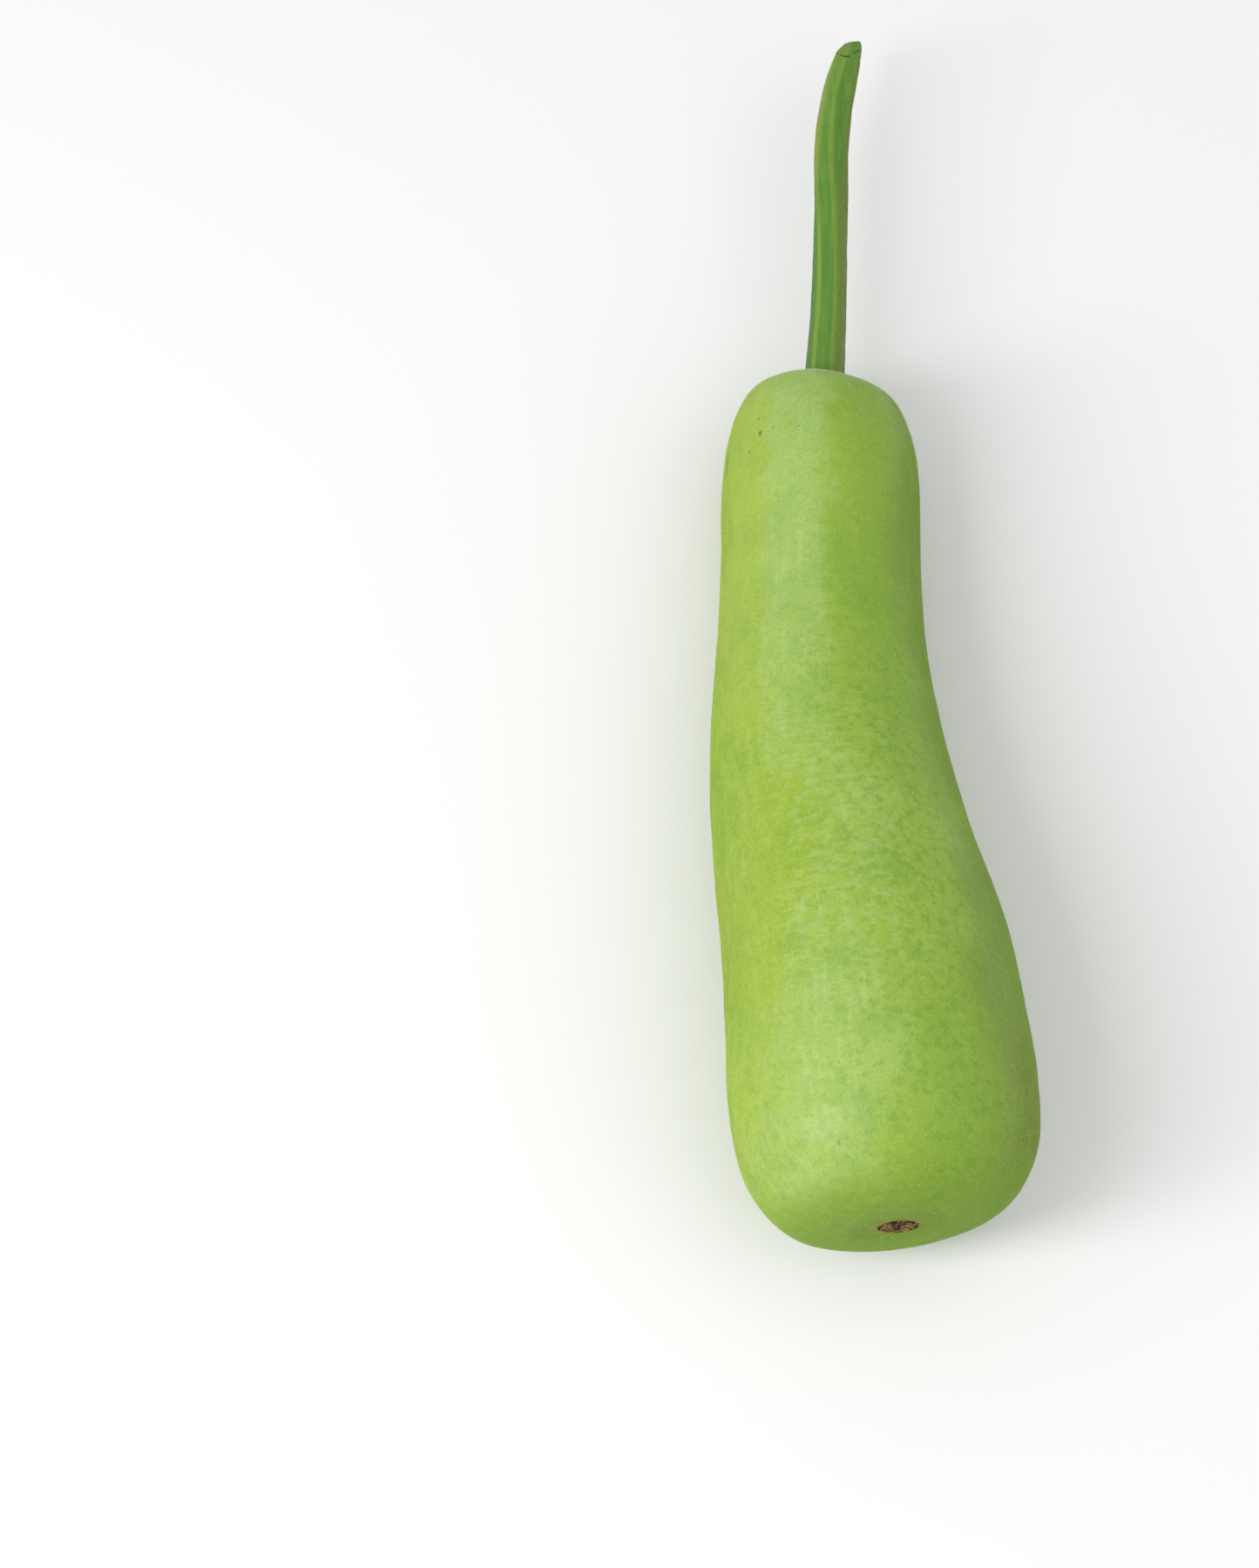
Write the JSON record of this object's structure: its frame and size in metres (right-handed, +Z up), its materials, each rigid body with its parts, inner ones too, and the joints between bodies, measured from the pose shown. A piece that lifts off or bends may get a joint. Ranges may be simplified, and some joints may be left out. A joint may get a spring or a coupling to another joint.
{
  "type": "bottle gourd",
  "caption": "Pale green bottle gourd with a wide bulb, a thick neck, a long ribbed stem and a corky blossom scar, lying on its side as picked; a vegetable for cooking or display.",
  "frame": {"origin": "on the surface the gourd lies on, under the middle of the whole gourd with its stem", "axes": "+Z up from the surface, +Y along the gourd from the blossom end to the tip of the stem, +X to the side that the bulb leans to"},
  "size_m": [0.0967, 0.3926, 0.0924],
  "materials": {
    "skin": "satin",
    "stem": "satin",
    "scar": "matte"
  },
  "bodies": {
    "root": {"gourd_body": "skin", "stem": "stem", "blossom_scar": "scar"}
  },
  "joints": []
}
